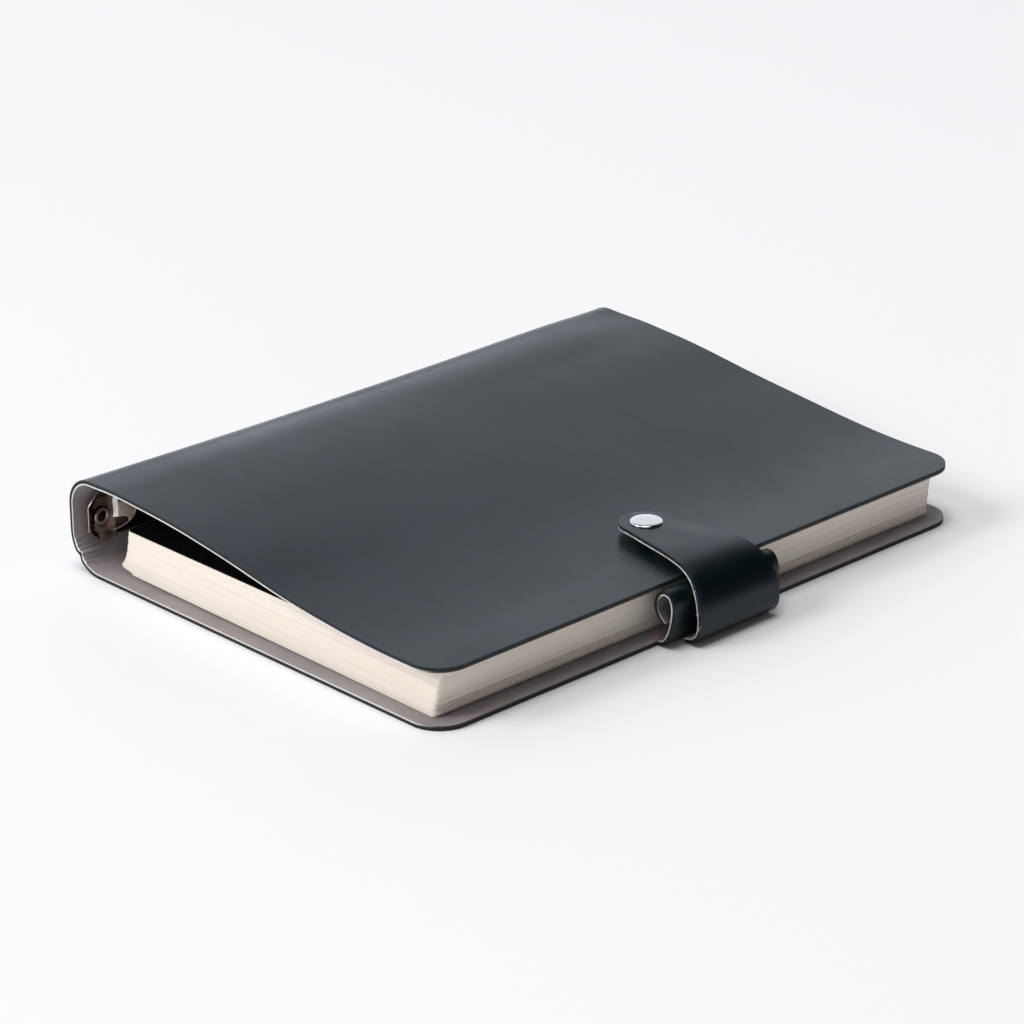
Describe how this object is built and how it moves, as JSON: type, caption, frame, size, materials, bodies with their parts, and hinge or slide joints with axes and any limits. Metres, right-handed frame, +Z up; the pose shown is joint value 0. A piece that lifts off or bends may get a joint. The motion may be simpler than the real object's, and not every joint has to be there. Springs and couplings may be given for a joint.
{
  "type": "leather ring-binder notebook cover",
  "caption": "Soft leather A5 ring-binder notebook cover, closed over its pages, with pen loop and snap strap.",
  "frame": {"origin": "middle of the back cover's underside, on the surface it lies on", "axes": "+X towards the fore edge, +Y along the spine away from the end shown nearest, +Z up through the closed cover"},
  "size_m": [0.1767, 0.222, 0.0312],
  "materials": {
    "cover_leather": "smooth satin, dark green-black",
    "lining": "matt grey-mauve backing",
    "nickel": "dark polished nickel",
    "cap_chrome": "polished",
    "paper": "matt cream",
    "dark_card": "matt black card"
  },
  "bodies": {
    "back_cover": {"back_cover_leather": "cover_leather", "back_cover_lining": "lining", "pen_loop_leather": "cover_leather", "pen_loop_lining": "lining"},
    "spine": {"spine_leather": "cover_leather", "spine_lining": "lining", "mechanism_plate": "nickel", "mounting_rivet_near": "nickel", "mounting_rivet_far": "nickel"},
    "front_cover": {"front_cover_leather": "cover_leather", "front_cover_lining": "lining", "snap_stud": "nickel", "snap_post": "nickel"},
    "ring_upper": {"ring_blade_upper": "nickel", "ring_upper_1": "nickel", "ring_upper_2": "nickel", "ring_upper_3": "nickel", "ring_upper_4": "nickel", "ring_upper_5": "nickel", "ring_upper_6": "nickel"},
    "ring_lower": {"ring_blade_lower": "nickel", "ring_lower_1": "nickel", "ring_lower_2": "nickel", "ring_lower_3": "nickel", "ring_lower_4": "nickel", "ring_lower_5": "nickel", "ring_lower_6": "nickel"},
    "pages_lower": {"page_block_lower_1": "paper", "page_block_lower_2": "paper", "page_block_lower_3": "paper"},
    "pages_upper": {"page_block_upper_1": "paper", "page_block_upper_2": "paper", "fly_sheet": "dark_card"},
    "strap_base": {"strap_base_leather": "cover_leather", "strap_base_lining": "lining"},
    "strap_flap": {"strap_flap_leather": "cover_leather", "strap_flap_lining": "lining", "snap_cap": "cap_chrome", "snap_socket": "nickel"}
  },
  "joints": [
    {"name": "spine_fold", "type": "hinge", "parent": "back_cover", "child": "spine", "pos_m": [-0.07869, 0, 0.00381], "axis": [0, -1, 0], "range_deg": [0, 90]},
    {"name": "front_cover_fold", "type": "hinge", "parent": "spine", "child": "front_cover", "pos_m": [-0.07957, 0, 0.02827], "axis": [0, -1, 0], "range_deg": [0, 93]},
    {"name": "pages_lower_turn", "type": "hinge", "parent": "spine", "child": "pages_lower", "pos_m": [-0.0615, 0, 0.0158], "axis": [0, -1, 0], "range_deg": [-90, 0]},
    {"name": "pages_upper_turn", "type": "hinge", "parent": "spine", "child": "pages_upper", "pos_m": [-0.0615, 0, 0.0158], "axis": [0, -1, 0], "range_deg": [0, 93]},
    {"name": "ring_upper_open", "type": "hinge", "parent": "spine", "child": "ring_upper", "pos_m": [-0.079, 0, 0.0223], "axis": [0, -1, 0], "range_deg": [0, 4]},
    {"name": "ring_lower_open", "type": "hinge", "parent": "spine", "child": "ring_lower", "pos_m": [-0.079, 0, 0.0093], "axis": [0, -1, 0], "range_deg": [-4, 0]},
    {"name": "strap_swing", "type": "hinge", "parent": "back_cover", "child": "strap_base", "pos_m": [0.0876, 0, 0.0017], "axis": [0, 1, 0], "range_deg": [0, 30]},
    {"name": "strap_flap_lift", "type": "hinge", "parent": "strap_base", "child": "strap_flap", "pos_m": [0.09044, 0, 0.01703], "axis": [0, 1, 0], "range_deg": [0, 150]}
  ],
  "couplings": [
    {"joint": "pages_lower_turn", "follows": "spine_fold", "ratio": -1},
    {"joint": "pages_upper_turn", "follows": "front_cover_fold", "ratio": 1},
    {"joint": "ring_lower_open", "follows": "ring_upper_open", "ratio": -1}
  ]
}
